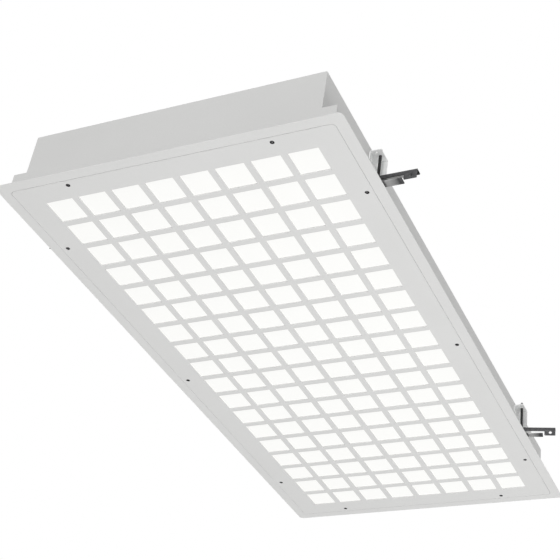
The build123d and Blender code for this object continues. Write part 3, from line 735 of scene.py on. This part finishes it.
def hexagon_nut_mesh(flats, height):
    """A nut with both faces chamfered and its bore countersunk."""
    corner, face = flats / math.sqrt(3), 0.48 * flats  # radii of the corners and of the flat face
    half_way = (face + corner) / 2
    chamfer = [(0, face), (stop_nut_chamfer / 2, half_way), (stop_nut_chamfer, corner)]
    upper = [(height - level, limit) for level, limit in chamfer[::-1]]
    outside = [hexagon(flats, level, limit) for level, limit in chamfer + upper]
    bore = [
        (nut_bore_radius + edge_break, height),
        (nut_bore_radius, height - edge_break),
        (nut_bore_radius, edge_break),
        (nut_bore_radius + edge_break, 0),
    ]
    return skinned("hexagon_nut", outside + turned(bore), closed=True)


def barrel_nut_mesh(hub, barrel, height):
    """The nut inside an arm: a barrel between two hubs that turn in the arm's holes."""
    soft = clamp_nut_round
    profile = [
        (nut_bore_radius + soft, 0),
        (hub - soft, 0),
        (hub, soft),
        (hub, hub_length),
        (barrel - soft, hub_length),
        (barrel, hub_length + soft),
        (barrel, height - hub_length - soft),
        (barrel - soft, height - hub_length),
        (hub, height - hub_length),
        (hub, height - soft),
        (hub - soft, height),
        (nut_bore_radius + soft, height),
        (nut_bore_radius, height - soft),
        (nut_bore_radius, soft),
    ]
    return skinned("barrel_nut", turned(profile), closed=True)


def make_clamp_fasteners():
    """A threaded screw, its stop nut and the arm's nut at each clamp."""
    screw = clamp_screw_mesh(size_of("clamp_screw_right_front")[2] - screw_head)
    _, flats, height = size_of("stop_nut_right_front")
    stop_nut = hexagon_nut_mesh(flats, height)
    across, _, height = size_of("clamp_nut_right_front")
    barrel_nut = barrel_nut_mesh(hub_hole_radius - hub_clearance, across / 2, height)
    kinds = (
        ("threaded_screw", screw, screw_head, "black_steel", "screw", "clamp_screw"),
        ("chamfered_nut", stop_nut, 0, "zinc", "screw", "stop_nut"),
        ("barrel_nut", barrel_nut, 0, "zinc", "nut", "clamp_nut"),
    )
    for corner in corners:
        x, y = axis_of(f"clamp_screw_{corner}")
        for name, mesh, lift, slot, body, kind in kinds:
            node = f"{kind}_{corner}"
            place = Matrix.Translation((x, y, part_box(node)[0].z + lift))
            finished(f"{name}_{corner}", mesh.copy(), slot, f"{body}_{corner}", [node], place)


# ---------------------------------------------------------------- fixed fasteners and cable fittings
def make_panel_screws():
    """Countersunk screws with hexagon sockets, flush with the face."""
    head, shank, length = panel_screw_head_radius, panel_screw_radius, size_of("panel_screws")[2]
    rim_in, rim_up = 0.12 * mm, 0.1 * mm
    tip_in, tip_down = 0.3 * mm, 0.4 * mm
    rings = socket_rings(panel_screw_socket, panel_screw_socket_depth, 0, head - rim_in)
    rings += turned([(head, rim_up), (shank, head - shank), (shank, length - tip_down)])
    rings += turned([(shank - tip_in, length)])
    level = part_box("panel_screws")[0].z
    places = [Matrix.Translation((spot.x, spot.y, level)) for spot in spots_of("panel_screws")]
    mesh = skinned("socket_screws", rings, places=places)
    finished("socket_screws", mesh, "black_screw", "root", ["panel_screws"])


def blind_rivet_rings(head, rise, grip, tail):
    """A domed head on z = 0 with the pulled pin in its middle, and a shank that hangs below it. The
    shank's end is drawn in, or bulges where there is a pulled tail."""
    shank, pin, drawn_in = rivet_radius, rivet_pin_radius, 0.3 * mm
    shank_end, tail_end, hole_rim = 0.8 * shank, tail + 0.7 * shank, 1.12 * pin
    dome = ((1, 0), (1, 0.25), (0.88, 0.62), (0.7, 0.86), (0.5, 1))  # shares of radius and rise
    end = [(shank_end, -grip), (shank, -grip + drawn_in)]
    if tail:
        end = [(pin, -grip - tail), (tail_end, -grip - tail)]
        end += [(tail + shank, -grip - tail / 2), (shank + tail / 2, -grip)]
    middle = [(shank, -grip / 2), (shank, 0)] + [(head * wide, rise * high) for wide, high in dome]
    pin_hole = [(hole_rim, rise), (pin, rise / 2)]
    return turned(end + middle + pin_hole)


def make_rivets():
    """Upright rivets hold the tray under the housing's top, level ones the brackets on its walls."""
    housing_top, top_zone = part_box("housing_body")[1].z, 5 * mm
    wall_grip = wall_rivet_length - wall_rivet_rise - wall_rivet_tail
    upright, level = [], []
    for spot in spots_of("blind_rivets"):
        if spot.z > housing_top - top_zone:
            upright.append(Matrix.Translation((spot.x, spot.y, housing_top)))
            continue
        side = math.copysign(1, spot.x)
        out = Vector((side, 0, 0)).to_track_quat("Z", "Y").to_matrix().to_4x4()
        face = spot + Vector((side * (wall_rivet_length / 2 - wall_rivet_rise), 0, 0))
        level.append(Matrix.Translation(face) @ out)
    tray_rings = blind_rivet_rings(tray_rivet_head_radius, tray_rivet_rise, tray_rivet_grip, 0)
    wall_rings = blind_rivet_rings(wall_rivet_head_radius, wall_rivet_rise, wall_grip, wall_rivet_tail)
    for name, rings, places in (("tray", tray_rings, upright), ("bracket", wall_rings, level)):
        mesh = skinned(f"domed_{name}_rivets", rings, places=places)
        finished(f"domed_{name}_rivets", mesh, "zinc", "root", ["blind_rivets"])


def flange_rim(reach, low, high):
    """The rounded rim of a cable fitting's flange, from its lower face to its upper one."""
    soft = fitting_round
    return arc(reach - soft, low + soft, soft, -90, 0) + arc(reach - soft, high - soft, soft, 0, 90)


def make_grommet():
    """A grommet with soft lips."""
    low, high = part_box("cable_grommet")
    reach, bore, soft = (high.x - low.x) / 2, cable_bore_radius, fitting_round
    lower_top, upper_foot = low.z + fitting_flange, high.z - fitting_flange
    profile = arc(bore + soft, low.z + soft, soft, 180, 270) + flange_rim(reach, low.z, lower_top)
    profile += [(collar_radius, lower_top), (collar_radius, upper_foot)]
    profile += flange_rim(reach, upper_foot, high.z) + arc(bore + soft, high.z - soft, soft, 90, 180)
    mesh = skinned("soft_grommet", turned(profile, *axis_of("cable_grommet")), closed=True)
    finished("soft_grommet", mesh, "black_rubber", "root", ["cable_grommet"])


def make_plug():
    """A dished plug in the second cable entry."""
    low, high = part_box("blanking_plug")
    reach, inner, seat = (high.x - low.x) / 2, collar_radius - plug_wall, high.z - fitting_flange
    soft_inside, lead_in, lead_up = 0.3 * mm, 0.5 * mm, 0.8 * mm
    dish_start, dish_end, dish_depth = 2.0 * mm, 2.6 * mm, 0.4 * mm
    profile = [(inner, seat), (inner, low.z + soft_inside), (inner + soft_inside, low.z)]
    profile += [(collar_radius - lead_in, low.z), (collar_radius, low.z + lead_up)]
    profile += [(collar_radius, seat)] + flange_rim(reach, seat, high.z)
    profile += [(reach - dish_start, high.z), (reach - dish_end, high.z - dish_depth)]
    mesh = skinned("dished_plug", turned(profile, *axis_of("blanking_plug")))
    finished("dished_plug", mesh, "white_plastic", "root", ["blanking_plug"])


make_arms()
make_clamp_fasteners()
make_panel_screws()
make_rivets()
make_grommet()
make_plug()

# ---------------------------------------------------------------- finish of the carried-over pieces
slot_of = {row["node"]: row["material_slot"] for row in frame["record"]["subparts"]}
for name, piece in frame["nodes"].items():
    piece.data.materials.clear()
    piece.data.materials.append(finishes[slot_of[name]])

soft_sheets = ["trim_frame", "face_panel", "end_plate_front", "end_plate_rear"]
soft_sheets += [f"clamp_bracket_{corner}" for corner in corners]
for name in soft_sheets:
    soften(frame["nodes"][name], sheet_edge_round)

# ---------------------------------------------------------------- floor, light and camera
white = (1.0, 1.0, 1.0, 1)
floor_grey = (0.8, 0.8, 0.8)
floor_level = -4.5
floor_size = 80.0
floor_white = 0.7  # share of white in the camera's view of the floor near the light
floor_fade = 8.0, 34.0  # distances between which that share grows to 1

camera_place = Vector((0.8973, -1.7284, -1.1943))
camera_aim = Vector((0.1060, -0.2779, 0.0))  # where the lens axis meets the face
camera_roll = 8.3  # degrees, the right side of the picture lowered
camera_lens, camera_sensor = 80.6, 36.0  # mm
camera_shift = (-0.0507, -0.0246)  # the photograph is a crop off the lens axis


def mix_shaders(tree, share, one, other, output):
    """Lead an output a mix of two shader nodes, the second by a share."""
    mixed = tree.nodes.new("ShaderNodeMixShader")
    for socket, source in zip(mixed.inputs, (share, one.outputs[0], other.outputs[0])):
        tree.links.new(source, socket)
    tree.links.new(mixed.outputs[0], tree.nodes[output].inputs["Surface"])


def stage_floor():
    """A pale matt floor. To the camera it is near white and fades to white towards its edges."""
    bpy.ops.mesh.primitive_plane_add(size=floor_size, location=(0, 0, floor_level))
    floor = bpy.context.object
    floor.name = "floor"
    matt = Finish("pale_floor", floor_grey, roughness=0.9)
    bright = matt.nodes.new("ShaderNodeEmission")
    bright.inputs["Color"].default_value = white
    away = matt.nodes.new("ShaderNodeVectorMath")
    away.operation = "LENGTH"
    matt.links.new(matt.place, away.inputs[0])
    whiter = matt.spread(away.outputs["Value"], floor_white, 1, *floor_fade, kind="SMOOTHSTEP")
    seen = matt.nodes.new("ShaderNodeLightPath").outputs["Is Camera Ray"]
    mix_shaders(matt.tree, matt.times(seen, whiter), matt.shader, bright, "Material Output")
    floor.data.materials.append(matt.material)


def studio_world(level):
    """Even soft light of one level, seen as white by the camera and in reflections."""
    world = bpy.data.worlds.new("studio")
    bpy.context.scene.world = world
    world.use_nodes = True
    tree = world.node_tree
    soft = tree.nodes["Background"]
    soft.inputs["Color"].default_value = white
    soft.inputs["Strength"].default_value = level
    bright = tree.nodes.new("ShaderNodeBackground")
    bright.inputs["Color"].default_value = white
    path = tree.nodes.new("ShaderNodeLightPath").outputs
    seen = path["Is Camera Ray"]
    for kind in ("Is Glossy Ray", "Is Transmission Ray"):
        seen = maths(tree, "MAXIMUM", seen, path[kind])
    mix_shaders(tree, seen, soft, bright, "World Output")


def soft_lamp(name, place, size, watts):
    """A square soft box that faces the origin and isn't seen itself."""
    lamp = bpy.data.lights.new(name, "AREA")
    lamp.size = size
    lamp.energy = watts
    holder = bpy.data.objects.new(name, lamp)
    bpy.context.scene.collection.objects.link(holder)
    holder.location = place
    holder.rotation_mode = "QUATERNION"
    holder.rotation_quaternion = (-Vector(place)).to_track_quat("-Z", "Y")
    holder.visible_camera = False


def place_camera():
    """The camera at the photograph's angle and framing."""
    camera = bpy.data.objects.new("camera", bpy.data.cameras.new("camera"))
    bpy.context.scene.collection.objects.link(camera)
    camera.data.lens = camera_lens
    camera.data.sensor_width = camera_sensor
    camera.data.shift_x, camera.data.shift_y = camera_shift
    look = (camera_aim - camera_place).to_track_quat("-Z", "Y").to_matrix().to_4x4()
    roll = Matrix.Rotation(math.radians(camera_roll), 4, "Z")
    camera.matrix_world = Matrix.Translation(camera_place) @ look @ roll
    bpy.context.scene.camera = camera


stage_floor()
studio_world(level=0.54)
soft_lamp("key_below", place=(1.6, 0.1, -4.0), size=3.0, watts=115)
soft_lamp("front", place=(0.8, -5.0, -0.5), size=1.2, watts=73)
place_camera()
bpy.context.scene.view_settings.view_transform = "Standard"
